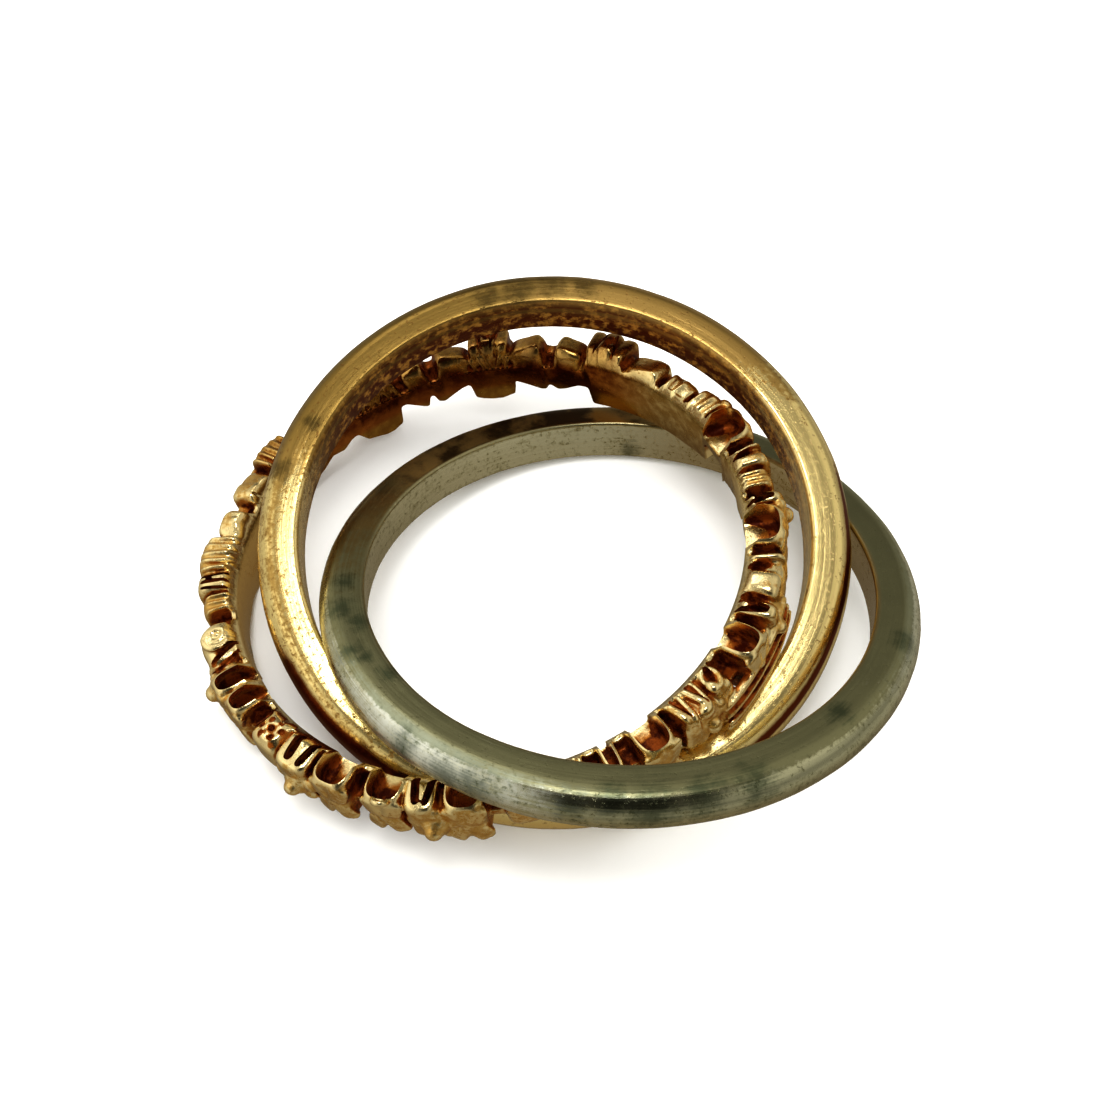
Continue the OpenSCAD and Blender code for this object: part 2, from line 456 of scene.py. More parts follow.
# How strongly painted shade darkens the finger opening, over its dark patina, from its lower edge (0) to its upper edge
# (1)
GOLD_BORE_SHADE = [(0.0, 0.95), (0.45, 1.0), (0.66, 0.8), (0.76, 0.45), (0.84, 0.55), (0.9, 0.9), (1.0, 0.5)]


def gold_metal():
    """Yellow where it is worn bright, ochre where it is dull, with painted shade on the back, a painted highlight on
    the right, and maroon painted shade over dark patina in the finger opening, underneath and low on the outside.
    """
    material, shader, where = new_metal("worn_gold", GOLD_PLACE)
    point, radius, height = where["Point"], where["Radius"], where["Height"]
    # Painted shade underneath, low on the outside at the near left, and in a line low on the right side.
    underside_shade = step_between(height, 0.1, -0.9)
    # Painted shade on the back, the back left, the outer left and along the shoulder, and a painted highlight on the
    # right, all laid on as dullness.
    back, back_left = stretch(where, 85, 62.0, 30.0), stretch(where, 132, 50.0, 20.0)
    outer_left = times(step_between(radius, 9.0, 9.35), stretch(where, 184, 60.0, 20.0))
    right = times(step_between(radius, 10.02, 9.82), stretch(where, -14, 48.0, 22.0))
    shoulder = line_at(radius, 9.55, 0.3, 0.05)
    lower_left_shade = times(step_between(height, 0.86, 0.55), stretch(where, -132, 27.0, 14.0))
    right_shade_line = times(step_between(radius, 9.6, 9.75), stretch(where, -22, 42.0, 26.0),
                       line_at(height, 0.57, 0.20, 0.02))
    outside_shade = largest(lower_left_shade, right_shade_line)
    # Painted shade in the finger opening over a dark patina, in bands by height with lighter painted reflection lines.
    inside = step_between(radius, GOLD_BORE_R + 0.14, GOLD_BORE_R + 0.02)
    bore = times(inside, ramp(step_between(height, -0.9, 0.9), GOLD_BORE_SHADE),
                 weighted(1.0, (stretch(where, 85, 55.0, 95.0), -0.55)))
    worn = worn_metal(where, {
        "Polished": (1.0, 0.81, 0.40), "Dull": blend(back_left, (0.56, 0.38, 0.14), (0.34, 0.23, 0.075)),
        "Grime": (0.24, 0.10, 0.03), "Pit share": 0.4,
        "Grime share": plus(0.18, largest(times(bore, 0.25), times(underside_shade, 0.35), times(outside_shade, 0.8))),
        "Dullness": weighted(0.39, (outer_left, 0.06), (back_left, 0.26), (back, 0.30), (shoulder, 0.08),
                             (right, -0.18))})
    mottle = step_between(noise_at(point, 2.6, 5.0, 0.7), 0.46, 0.64)
    # Painted maroon shade in the finger opening and low on the outside, then the real stains.
    colour = tinted(worn["Colour"],
                    (bore, 0.95, blend(mottle, (0.11, 0.018, 0.005), (0.66, 0.36, 0.09))),
                    (outside_shade, 0.85, (0.17, 0.035, 0.008)),
                    (spots(where, GOLD_STAINS), 0.75, (0.09, 0.065, 0.025)))
    finish_metal(shader, colour, worn["Roughness"], worn["Height"], GOLD_GRAIN, times(bore, 0.5))
    return material


gold = plain_band("gold_ring", GOLD_SIZES, gold_metal(), GOLD_PLACE)
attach(gold, "root")
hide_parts("gold_band")

# Plain silver band
# The other plain band: silver-toned metal, narrower, tarnished olive with black-green stains
# and a brighter worn dome that carries painted highlights. Made as the gold one is.
SILVER_BORE_R = 8.45
SILVER_SIZES = dict(bore=SILVER_BORE_R, wall=1.55, width=1.55, dome=0.55, corner=0.14, inner_corner=0.12)
SILVER_PLACE = lying_place(middle=(2.34, -1.10, 2.9282), lean=13.3, compass=86.9)
SILVER_GRAIN = 0.03 * MM
# Stains and warmer places, and worn places lightened as painted highlights, on the silver band. Columns: degrees round,
# radius, height, reach
SILVER_STAINS = [(-155.7, 9.39, 0.77, 0.5), (-152.6, 9.07, 0.77, 0.3), (-122.4, 10.0, 0.06, 0.9),
                 (-117.4, 9.99, 0.12, 0.9), (-86.8, 9.95, 0.3, 1.0), (-77.1, 9.79, 0.55, 0.8),
                 (-68, 9.75, 0.5, 0.8), (-93, 9.75, 0.55, 0.7), (-100, 9.95, 0.35, 0.6), (-132, 9.9, 0.3, 0.6),
                 (85.2, 8.45, -0.44, 0.5), (60, 8.45, 0.1, 0.6), (-20, 9.6, 0.77, 0.6), (150, 9.2, 0.77, 0.7),
                 (-168, 9.2, 0.77, 0.6), (-176, 9.1, 0.77, 0.5), (-163, 8.8, 0.77, 0.5), (-146, 8.75, 0.77, 0.4),
                 (-45, 9.0, 0.77, 0.5)]
SILVER_RUBBED_AND_HIGHLIT_LEFT, SILVER_RUBBED_AND_HIGHLIT_RIGHT = [(-128, 9.8, 0.4, 4.6)], [(-12, 9.9, 0.2, 3.6)]
SILVER_WARM = [(158, 9.2, 0.7, 4.2)]


def silver_metal():
    """Pale, worn and with painted highlights on the near left, olive elsewhere, nearly black on the upper edge at the
    back.
    """
    material, shader, where = new_metal("tarnished_silver", SILVER_PLACE)
    point, radius, height = where["Point"], where["Radius"], where["Height"]
    top = step_between(height, 0.60, 0.74)
    # Worn places, lighter as painted highlights and rougher.
    rubbed_and_highlit = times(largest(spots(where, SILVER_RUBBED_AND_HIGHLIT_LEFT), times(spots(where, SILVER_RUBBED_AND_HIGHLIT_RIGHT), 0.35)),
                   step_between(radius, 9.3, 9.55))
    face = step_between(radius, SILVER_BORE_R + 0.04, SILVER_BORE_R + 0.2)
    bore = step_between(radius, SILVER_BORE_R + 0.2, SILVER_BORE_R + 0.04)
    back = times(top, face, stretch(where, 108, 52.0, 30.0))
    worn = worn_metal(where, {
        "Polished": blend(rubbed_and_highlit, blend(face, (0.78, 0.74, 0.54), (0.61, 0.59, 0.41)), (0.97, 0.98, 0.90)),
        "Dull": blend(rubbed_and_highlit, blend(face, (0.48, 0.44, 0.27), (0.35, 0.335, 0.20)), (0.56, 0.59, 0.46)),
        "Grime": (0.06, 0.06, 0.03), "Pit share": 0.2,
        "Dullness": weighted(0.44, (top, 0.20)), "Grime share": weighted(0.18, (back, 0.75))})
    # Nearly black patches on the upper edge at the back.
    back_black_patches = times(back, step_between(noise_at(point, 0.55, 5.0, 0.6), 0.61, 0.44))
    colour = tinted(worn["Colour"],
                    (times(face, spots(where, SILVER_WARM)), 0.6, (0.30, 0.18, 0.05)),
                    (spots(where, SILVER_STAINS), 0.65, (0.07, 0.10, 0.06)),
                    (times(bore, stretch(where, 20, 80.0, 40.0)), 0.6, (0.34, 0.20, 0.06)),
                    (back, 0.6, (0.66, 0.46, 0.20)),
                    (back_black_patches, 0.85, (0.06, 0.035, 0.018)))
    finish_metal(shader, colour, weighted(worn["Roughness"], (rubbed_and_highlit, 0.18)), worn["Height"], SILVER_GRAIN)
    return material


silver = plain_band("silver_ring", SILVER_SIZES, silver_metal(), SILVER_PLACE)
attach(silver, "root")
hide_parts("silver_band")

# Wreath band
# A cast gold-toned band: hollow petals of flowers, seen from above as deep U-shaped cells with thin
# rims, and between them leaves, ribs and folds. It is one casting on a smooth inner wall. Its colour holds
# painted shade, dark in its recesses, painted amber reflections, and painted highlights on worn rims. It is made flat
# from rounded blocks, beads and rings, bent round.
WREATH_PLACE = lying_place(middle=(-2.04, 0.42, 2.602), lean=8.7, compass=176.7)
WREATH_BORE_R = 8.75
WREATH_WALL = 0.27
WREATH_MID_R = 9.5
WREATH_GRAIN = 0.03 * MM
WALL_STEPS, OPENING_STEPS = 1440, 480
WALL_SUNK_IN = 0.15
WEB_TO_R, BACKING_R = 9.75, (9.25, 9.7)
# Where the far side shows its inner wall (degrees round), and how far that wall reaches up
BACKED, BARED = (67, 165), (67, 160)
WALL_UP_AT_LEAST, WALL_UP_AT_MOST, WALL_UP_IN_CELL, WALL_UP_WHERE_BARED = 0.62, 0.8, 0.5, 0.05
SLOT_HALF_HEIGHT = 0.3
WEB_HALF_HEIGHT, BACKING_RAISED_BY = 0.15, 0.3
RIM = 0.13
NEAR_SIDE = (205, 292)
NEAR_LOWER_BY = 0.28
RIM_BEVEL_FROM, RIM_BEVEL_R, RIM_BEVEL_TO = 0.5, 1.2, 1.9
BLOCK, BEAD, RING, CUP, PILLOW = range(5)
VOXEL = 0.05
THINNED_TO = 0.35
RECESS_REACH, RECESS_LOOKS, CREST_REACH = 1.3, 18, 0.05
GOLDEN_TURN = 2.39996
SHARP_FROM_DEG = 50

# What stands along the band, as the photograph shows it.
# Columns: from, to (degrees round), form, outer radius, half height at the start, at the end
WREATH_CHART = [
    (-66.3, -62.6, "cell", 10.15, 0.95, 0.95),
    (-59.8, -52.4, "cell", 10.35, 1.10, 1.10),
    (-51.0, -46.4, "fold", 10.20, 0.95, 0.90),
    (-46.2, -42.6, "fold", 10.15, 0.90, 0.90),
    (-42.4, -36.9, "ringed", 10.10, 0.90, 0.80),
    (-34.0, -26.4, "cell", 10.30, 1.10, 1.10),
    (-24.2, -20.4, "petals", 10.25, 1.00, 0.95),
    (-20.2, -9.2, "arch", 10.15, 0.90, 0.95),
    (-7.2, 3.2, "cell", 10.05, 1.05, 1.10),
    (3.6, 6.4, "petals", 10.10, 1.00, 0.90),
    (8.2, 13.0, "ribs", 10.05, 0.85, 0.90),
    (13.0, 18.9, "arch", 10.15, 0.95, 0.90),
    (20.9, 30.9, "cell", 10.10, 1.10, 1.10),
    (31.0, 38.4, "bars", 10.15, 0.95, 0.85),
    (38.6, 46.2, "bars", 9.95, 0.70, 0.95),
    (47.6, 56.8, "leaf", 9.90, 0.95, 0.65),
    (57.6, 68.0, "bloom", 10.30, 1.10, 1.10),
    (69.0, 75.6, "leaf", 9.85, 0.60, 0.95),
    (78.3, 86.0, "leaf", 9.85, 0.95, 0.60),
    (86.6, 96.0, "bloom", 10.30, 1.10, 1.10),
    (96.8, 104.6, "leaf", 9.85, 0.60, 0.95),
    (107.0, 112.6, "leaf", 9.80, 0.95, 0.65),
    (115.0, 125.0, "bloom", 10.30, 1.10, 1.10),
    (126.0, 133.8, "leaf", 9.90, 0.75, 1.00),
    (135.0, 142.4, "leaf", 9.90, 1.00, 0.75),
    (143.0, 152.6, "ribs", 10.25, 1.00, 1.10),
    (153.4, 161.8, "leaf", 9.90, 0.80, 0.90),
    (164.4, 171.6, "flat", 9.90, 0.95, 0.95),
    (171.6, 181.4, "ribs", 10.35, 0.95, 1.08),
    (181.0, 186.6, "dip", 10.20, 1.02, 0.98),
    (186.6, 191.4, "ribs", 10.05, 0.95, 0.85),
    (194.2, 204.6, "swirl", 10.20, 0.92, 1.00),
    (206.6, 212.4, "cell", 10.22, 1.00, 1.05),
    (212.4, 218.4, "cell", 10.12, 1.10, 1.10),
    (221.0, 229.0, "pitted", 10.12, 0.92, 0.95),
    (229.2, 237.4, "petals", 10.20, 0.95, 1.05),
    (237.8, 246.0, "cell", 10.14, 1.10, 1.10),
    (248.4, 256.6, "cell", 10.10, 1.00, 1.05),
    (256.8, 263.2, "petals", 10.22, 1.05, 1.05),
    (263.8, 271.8, "cell", 10.16, 1.10, 1.10),
    (274.6, 282.0, "pitted", 10.10, 0.90, 0.85),
    (283.6, 291.0, "ribs", 10.10, 0.90, 0.95),
]

# The lower edge of the inner wall where it shows, at the back and on the left.
# Columns: degrees round, reach under the band's middle plane
LOWER_EDGE = [
    (12, 0.40), (20, 0.79), (28, 1.04), (38, 1.30), (55, 1.38), (66.6, 1.45), (66.9, 0.60), (69.7, 0.60),
    (73.3, 0.87), (75.3, 0.94), (77.3, 0.68), (78.4, 0.97), (79.7, 0.98), (85.8, 0.53), (86.2, 0.56),
    (86.5, 1.18), (90.0, 1.40), (92.5, 1.39), (95.0, 1.29), (96.8, 1.14), (97.1, 0.46), (98.5, 0.44),
    (104.5, 0.95), (106.0, 0.86), (106.8, 0.46), (107.8, 0.50), (108.6, 0.97), (110.0, 0.86), (114.0, 0.42),
    (115.7, 0.42), (116.1, 1.22), (119.0, 1.42), (121.0, 1.42), (126.0, 1.15), (128.3, 0.61), (130.0, 0.62),
    (133.0, 0.87), (136.5, 0.72), (140.0, 0.98), (144.0, 1.10), (168.0, 1.10), (176.0, 1.25), (178.4, 1.10),
    (181.4, 0.94), (185.8, 0.86), (191.3, 0.62), (197.7, 0.48), (204.0, 0.36),
]

# Flower hearts on the outside: a bead, ringed by the outer sides of five petals.
# Columns: angle round, radius that the bead reaches
WREATH_HEARTS = [(-22.0, 10.55), (3.6, 10.45), (32.0, 10.4), (62.8, 10.4), (91.3, 10.4),
                 (120.0, 10.4), (149.0, 10.45), (176.0, 10.5), (206.6, 10.6), (233.8, 10.6),
                 (262.0, 10.62), (289.0, 10.5), (315.0, 10.5)]


def block_mesh(name, plan, upright, cuts=9):
    """A unit block. Roundness 2 is a ball's, 10 nearly a box's: in plan, and from the side."""
    mesh = bpy.data.meshes.new(name)
    shape = bmesh.new()
    bmesh.ops.create_cube(shape, size=2)
    bmesh.ops.subdivide_edges(shape, edges=shape.edges, cuts=cuts, use_grid_fill=True)
    for v in shape.verts:
        x, y, z = (abs(c) for c in v.co)
        v.co /= ((x ** plan + y ** plan) ** (upright / plan) + z ** upright) ** (1 / upright)
    shape.to_mesh(mesh)
    shape.free()
    return mesh


def ring_mesh(name, tube=0.26, around=24, across=8):
    """A unit ring lying flat."""
    points, faces = [], []
    for i in range(around):
        a, next_row = math.tau * i / around, (i + 1) % around * across
        for j in range(across):
            b, k = math.tau * j / across, (j + 1) % across
            out = 1 - tube + tube * math.cos(b)
            points.append((out * math.cos(a), out * math.sin(a), tube * math.sin(b)))
            faces.append((i * across + j, next_row + j, next_row + k, i * across + k))
    return mesh_of(name, points, [], faces)


def wreath_forms():
    """What is added to and cut from the casting. Rows: degrees round, radius, height, half width,
    half depth, half height, turn, tip, slant, form. Turn is about the upright, slant about the radius."""
    added, cut = [], []
    arc = math.radians(WREATH_MID_R)   # millimetres for each degree

    def put(rows, angle, r, z, wide, deep, high, turn=0.0, tip=0.0, slant=0.0, form=BLOCK, both=True):
        rows.append((angle, r, z, wide, deep, high, turn, tip, slant, form))
        if both and z:
            rows.append((angle, r, -z, wide, deep, high, turn, -tip, -slant, form))

    def stand(angle, r, wide, deep, high, **how):
        low = high - NEAR_LOWER_BY if NEAR_SIDE[0] < angle < NEAR_SIDE[1] else high
        put(added, angle, r, (high - low) / 2, wide, deep, (high + low) / 2, both=False, **how)

    for number, (start, end, form, outer, h0, h1) in enumerate(WREATH_CHART):
        middle, half = (start + end) / 2, (end - start) / 2 * arc
        deep, r_mid = (outer - WREATH_BORE_R) / 2, (outer + WREATH_BORE_R) / 2
        h = (h0 + h1) / 2
        rise = math.degrees(math.atan2(h1 - h0, 2 * half))
        way = 1 if number % 2 else -1

        def along(share):
            return start + share * (end - start)

        # These three take the share along the form, the distance out from its middle, and its half widths
        def post(share, out, wide, *sizes, **how):
            stand(along(share), r_mid + out, half * wide, *sizes, **how)

        def add(share, out, z, wide, *sizes, **how):
            put(added, along(share), r_mid + out, z, half * wide, *sizes, **how)

        def carve(share, out, z, wide, *sizes, **how):
            put(cut, along(share), r_mid + out, z, half * wide, *sizes, **how)

        if form == "cell":
            inner = WREATH_BORE_R - 0.45
            cup_deep, cup_r = (outer - inner) / 2, (outer + inner) / 2
            stand(middle, cup_r, half, cup_deep, h, form=CUP)
            put(cut, middle, cup_r - RIM * 0.5, 0.88, half - RIM, cup_deep - RIM * 0.5, 0.73, form=CUP)
            for side in (-1, 1):
                put(added, middle + side * half * 0.5 / arc, outer - 0.12, h * 0.45, half * 0.44, 0.15, h * 0.4,
                    turn=-side * 12, slant=side * 18)
            put(added, middle, outer - 0.05, 0, 0.2, 0.13, 0.24, form=BEAD)
        elif form == "dip":
            post(0.5, 0, 1, deep, h)
            for share, wide in ((0.24, 0.13), (0.52, 0.17), (0.80, 0.11)):
                carve(share, 0.03, h + 0.1, wide, deep * 0.72, 0.44, turn=20 * (share - 0.5))
        elif form == "bloom":
            post(0.5, 0.08, 0.95, deep - 0.1, h * 0.62)
            for share, wide, grow in ((0.18, 0.34, 0.88), (0.52, 0.42, 1.0), (0.84, 0.30, 0.92)):
                add(share, 0.14, h * grow - 0.55, wide, deep - 0.06, 0.55, tip=-12, turn=10 * way * (share - 0.5),
                    slant=8 * way * (share - 0.5))
            for share, lean in ((0.35, 14), (0.70, -10)):
                carve(share, 0.1, h + 0.05, 0.07, deep, 0.34, turn=lean * way, form=BEAD)
            carve(0.52, 0.25, h + 0.12, 0.2, deep * 0.5, 0.3, form=BEAD)
            for share, grow in ((0.06, 0.16), (0.28, 0.24), (0.52, 0.15), (0.70, 0.25), (0.94, 0.18)):
                put(added, along(share), WREATH_BORE_R + 0.24, 0.36, half * 0.13, 0.15, grow + 0.1, tip=-10,
                    slant=20 * way * (1 if share > 0.5 else -1))
        elif form == "leaf":
            post(0.5, 0.16, 1.12, deep - 0.14, 0.55)
            add(0.5, 0.06, h - 0.56, 1.12, deep + 0.02, 0.6, slant=-rise, tip=-14)
            add(0.5 + 0.2 * math.copysign(1, rise), 0.1, h - 0.36, 0.60, deep, 0.46, slant=-rise, turn=8 * way, tip=-10)
        elif form == "flat":
            post(0.5, -0.02, 1.02, deep, h, form=CUP, slant=5)
            post(0.5, 0.02, 0.7, deep - 0.1, h + 0.06, form=PILLOW)
        elif form in ("ribs", "bars"):
            count = max(2, round((end - start) / (1.9 if form == "ribs" else 2.6)))
            post(0.5, 0, 0.98, deep - 0.04, h * 0.90)
            for i in range(count):
                share = (i + 0.5) / count
                swell = 1 - 0.22 * (2 * share - 1) ** 2
                post(share, -0.05, 0.66 / count, deep * swell, (h0 + share * (h1 - h0)) * (0.92 + 0.08 * swell),
                     turn=4 * (i % 2) - 2)
        elif form == "ringed":
            post(0.5, 0, 1, deep, h * 0.9)
            add(0.5, 0.02, h * 0.84, 0.8, 0.52, 0.5, form=RING, turn=20)
            put(added, along(0.25), r_mid + 0.25, h * 0.9, 0.2, 0.26, 0.16, form=BEAD)
            carve(0.55, -0.08, h * 0.95, 0.3, 0.36, 0.34, form=BEAD, turn=24)
        elif form == "swirl":
            post(0.40, 0, 0.66, deep, h)
            post(0.5, 0, 1, deep - 0.05, h * 0.86)
            add(0.40, 0, h * 0.99, 0.62, deep * 0.90, 0.34, form=RING, turn=-16)
            add(0.37, 0.03, h, 0.34, deep * 0.50, 0.40, form=RING, turn=-30, tip=-8)
            add(0.37, 0.03, h, 0.10, 0.10, 0.12, form=BEAD)
            for share in (0.74, 0.96):
                put(cut, along(share), r_mid - 0.02, h + 0.04, 0.09, deep * 0.9, 0.42, turn=-24)
        elif form == "pitted":
            post(0.5, 0, 1, deep, h * 0.96)
            put(added, along(0.55), r_mid + 0.1, h * 0.92, 0.40, 0.42, 0.34, form=RING, both=False)
            for i in range(9):
                r = WREATH_BORE_R + (outer - WREATH_BORE_R) * (0.18 + 0.68 * i / 8)
                put(cut, along(0.12 + 0.76 * ((i * 0.618) % 1)), r, h, 0.13, 0.11, 0.14, form=BEAD, turn=40 * i)
        elif form == "arch":
            post(0.5, 0, 1, deep, h * 0.82)
            post(0.38, 0, 0.6, deep, h * 1.05)
            carve(0.76, -0.15, h, 0.2, deep * 0.62, 0.6, turn=-16, form=BEAD)
            post(0.94, 0, 0.14, deep, h, turn=-10)
            carve(0.04, -0.1, h, 0.13, deep * 0.75, 0.5, form=BEAD)
        elif form == "fold":
            post(0.5, 0, 0.98, deep - 0.03, h * 0.78)
            post(0.30, -0.06, 0.5, deep * 0.98, h * 1.04, turn=-12)
            post(0.80, 0.04, 0.34, deep * 0.96, h * 0.96, turn=8)
            carve(0.58, -0.05, h + 0.1, 0.1, deep * 0.85, 0.42, form=BEAD, turn=-6)
        elif form == "petals":
            post(0.46, 0, 0.96, deep, h * 0.98, turn=-4, form=CUP)
            for share, wide, turn in ((0.30, 0.17, -12), (0.72, 0.13, 6)):
                put(cut, along(share), r_mid - 0.04, h + 0.05, half * wide + 0.05, deep * 0.74, 0.62, turn=turn,
                    form=CUP)

    for angle, reach in WREATH_HEARTS:
        put(added, angle, reach - 0.26, 0, 0.27, 0.26, 0.27, form=BEAD)
        put(added, angle, reach - 0.48, 0, 0.44, 0.28, 0.46, form=BEAD)
        stand(angle, 9.62, 0.5, 0.56, 0.72)
        for k in range(5):
            turn = math.radians(90 + 72 * k)
            put(added, angle + 0.58 * math.cos(turn) / arc, 9.98, 0.55 * math.sin(turn), 0.30, 0.24, 0.30,
                form=BEAD, both=False)
    put(added, 253.0, 10.02, 1.0, 0.30, 0.30, 0.42, form=RING, tip=40, both=False)
    put(added, 253.0, 9.98, 0.95, 0.1, 0.1, 0.1, form=BEAD, both=False)
    # The ribbed plate behind the flowers at the far right
    for z, r in ((0.12, 10.22), (-0.24, 10.30), (-0.60, 10.36), (-0.92, 10.30)):
        put(added, -29.0, r, z, 2.15, 0.12, 0.13, slant=-2.0, both=False)
    put(added, -29.0, 10.12, -0.4, 2.2, 0.14, 0.6, both=False)
    for z, r in ((-0.06, 10.37), (-0.42, 10.44), (-0.77, 10.44)):
        put(cut, -29.0, r, z, 2.0, 0.13, 0.06, slant=-2.0, both=False)
    return added, cut


def edge_heights(degrees):
    """How far the inner wall reaches under and over the band's middle plane."""
    under = np.full(len(degrees), SLOT_HALF_HEIGHT)
    over = np.full(len(degrees), SLOT_HALF_HEIGHT)
    for start, end, form, outer, h0, h1 in WREATH_CHART:
        for turn in (0, 360):
            inside = (degrees >= start + turn) & (degrees <= end + turn)
            high = h0 + (degrees[inside] - start - turn) / (end - start) * (h1 - h0)
            under[inside] = high
            over[inside] = np.minimum(high, WALL_UP_IN_CELL if form == "cell" else WALL_UP_AT_MOST)
    over = np.maximum(over, WALL_UP_AT_LEAST)
    over[(degrees > BARED[0]) & (degrees < BARED[1])] = WALL_UP_WHERE_BARED
    drawn = (degrees > LOWER_EDGE[0][0]) & (degrees < LOWER_EDGE[-1][0])
    under[drawn] = np.interp(degrees[drawn], *np.transpose(LOWER_EDGE))
    soft = np.array([1, 2, 1]) / 4
    return [np.convolve(np.concatenate([h[-1:], h, h[:1]]), soft, "valid") for h in (under, over)]


def round_strip(name, inner, outer, under, over):
    """A closed strip round the band, of the given reach under and over its middle plane."""
    count = len(under)
    turn = np.arange(count) * math.tau / count
    points = np.stack([np.stack([r * np.cos(turn), r * np.sin(turn), z], -1)
                       for r, z in ((inner, -under), (outer, -under), (outer, over), (inner, over))], 1)
    faces = [(i * 4 + j, i * 4 + (j + 1) % 4, (i + 1) % count * 4 + (j + 1) % 4, (i + 1) % count * 4 + j)
             for i in range(count) for j in range(4)]
    return object_of(mesh_of(name, points.reshape(-1, 3).tolist(), [], faces))


def opening_mesh(name, steps):
    """What is turned away inside: the finger opening, and the inner rim over it."""
    profile = [(WREATH_BORE_R + RIM_BEVEL_R, RIM_BEVEL_TO), (WREATH_BORE_R, RIM_BEVEL_FROM), (WREATH_BORE_R, 0),
               (WREATH_BORE_R, -RIM_BEVEL_TO)]
    points = [(r * math.cos(math.tau * i / steps), r * math.sin(math.tau * i / steps), z)
              for i in range(steps) for r, z in profile]
    faces = [(i * 4 + j, i * 4 + j + 1, (i + 1) % steps * 4 + j + 1, (i + 1) % steps * 4 + j)
             for i in range(steps) for j in range(3)]
    faces += [[i * 4 for i in range(steps)], [i * 4 + 3 for i in reversed(range(steps))]]
    return object_of(mesh_of(name, points, [], faces))


def point_cloud(name, rows):
    """A point for each form, with its size, its turn and which form it is."""
    rows = np.array(rows, dtype=float)
    places = np.stack([np.radians(rows[:, 0]) * WREATH_MID_R, rows[:, 1], rows[:, 2]], -1)
    mesh = mesh_of(name, places.tolist(), [], [])
    for label, values in (("size", rows[:, 3:6]), ("turn", np.radians(rows[:, [7, 8, 6]]))):
        mesh.attributes.new(label, "FLOAT_VECTOR", "POINT").data.foreach_set("vector", values.ravel())
    mesh.attributes.new("form", "INT", "POINT").data.foreach_set("value", rows[:, 9].astype(np.int32))
    return object_of(mesh)


def bending_tree(shapes):
    """Puts the shapes on the points, bends the row of them round the band and adds the strips."""
    tree, given = new_tree("GeometryNodeTree", "bent_row", {
        "Geometry": "Geometry", "Strips": "Object", "Middle radius": "Float", "Metal": "Material"},
        {"Geometry": "Geometry"})

    def attribute(label, kind):
        return add_node(tree, "GeometryNodeInputNamedAttribute", {"Name": label}, "Attribute", data_type=kind)

    def geometry_of(piece):
        return add_node(tree, "GeometryNodeObjectInfo", {"Object": piece}, "Geometry")

    turn = add_node(tree, "FunctionNodeEulerToRotation", {0: attribute("turn", "FLOAT_VECTOR")})
    size, form = attribute("size", "FLOAT_VECTOR"), attribute("form", "INT")
    placed = []
    for number, shape in enumerate(shapes):
        same = add_node(tree, "FunctionNodeCompare", {2: form, 3: number}, data_type="INT", operation="EQUAL")
        placed.append(add_node(tree, "GeometryNodeInstanceOnPoints", {
            "Points": given["Geometry"], "Selection": same, "Instance": geometry_of(shape), "Rotation": turn,
            "Scale": size}))
    row = add_node(tree, "GeometryNodeRealizeInstances", {0: add_node(tree, "GeometryNodeJoinGeometry", {0: placed})})
    x, y, z = add_node(tree, "ShaderNodeSeparateXYZ", {0: add_node(tree, "GeometryNodeInputPosition", {})}, None)
    angle = maths("DIVIDE", x, given["Middle radius"])
    bent = add_node(tree, "ShaderNodeCombineXYZ",
                    {"X": times(y, maths("COSINE", angle)), "Y": times(y, maths("SINE", angle)), "Z": z})
    moved = add_node(tree, "GeometryNodeSetPosition", {"Geometry": row, "Position": bent})
    outward = add_node(tree, "GeometryNodeFlipFaces", {"Mesh": moved})
    whole = add_node(tree, "GeometryNodeJoinGeometry", {0: [geometry_of(given["Strips"]), outward]})
    end_in_metal(tree, whole, given["Metal"])
    return tree


def recess_tree(looks):
    """Marks each point with the share of the space before it that other metal closes off, and
    with whether it lies in a hollow that was cut."""
    tree, given = new_tree("GeometryNodeTree", "recess", {
        "Geometry": "Geometry", "Reach": "Float", "Hollows": "Object"}, {"Geometry": "Geometry"})
    normal, here = (add_node(tree, "GeometryNodeInput" + kind, {}) for kind in ("Normal", "Position"))
    start = add_node(tree, "ShaderNodeVectorMath", {0: normal, 1: (0.03, 0.03, 0.03), 2: here},
                     operation="MULTIPLY_ADD")
    met = []
    for k in range(looks):
        z = 1 - (2 * k + 1) / looks
        turn, level = k * GOLDEN_TURN, 0.92 * math.sqrt(1 - z * z)
        toward = add_node(tree, "ShaderNodeVectorMath",
                          {0: normal, 1: (level * math.cos(turn), level * math.sin(turn), 0.92 * z)}, operation="ADD")
        met.append(add_node(tree, "GeometryNodeRaycast", {
            "Target Geometry": given["Geometry"], "Source Position": start, "Ray Direction": toward,
            "Ray Length": given["Reach"]}))
    closed = maths("DIVIDE", plus(*met), float(looks))
    cutters = add_node(tree, "GeometryNodeObjectInfo", {"Object": given["Hollows"]}, "Geometry")
    near = add_node(tree, "GeometryNodeProximity", {0: cutters}, "Distance", target_element="FACES")
    carved = add_node(tree, "ShaderNodeMapRange", {"Value": near, "From Min": 0.10, "From Max": 0.03})
    marked = given["Geometry"]
    for label, value in (("recess", closed), ("hollow", carved)):
        marked = add_node(tree, "GeometryNodeStoreNamedAttribute", {"Geometry": marked, "Name": label, "Value": value},
                          data_type="FLOAT", domain="POINT")
    add_node(tree, "NodeGroupOutput", {0: marked}, None)
    return tree


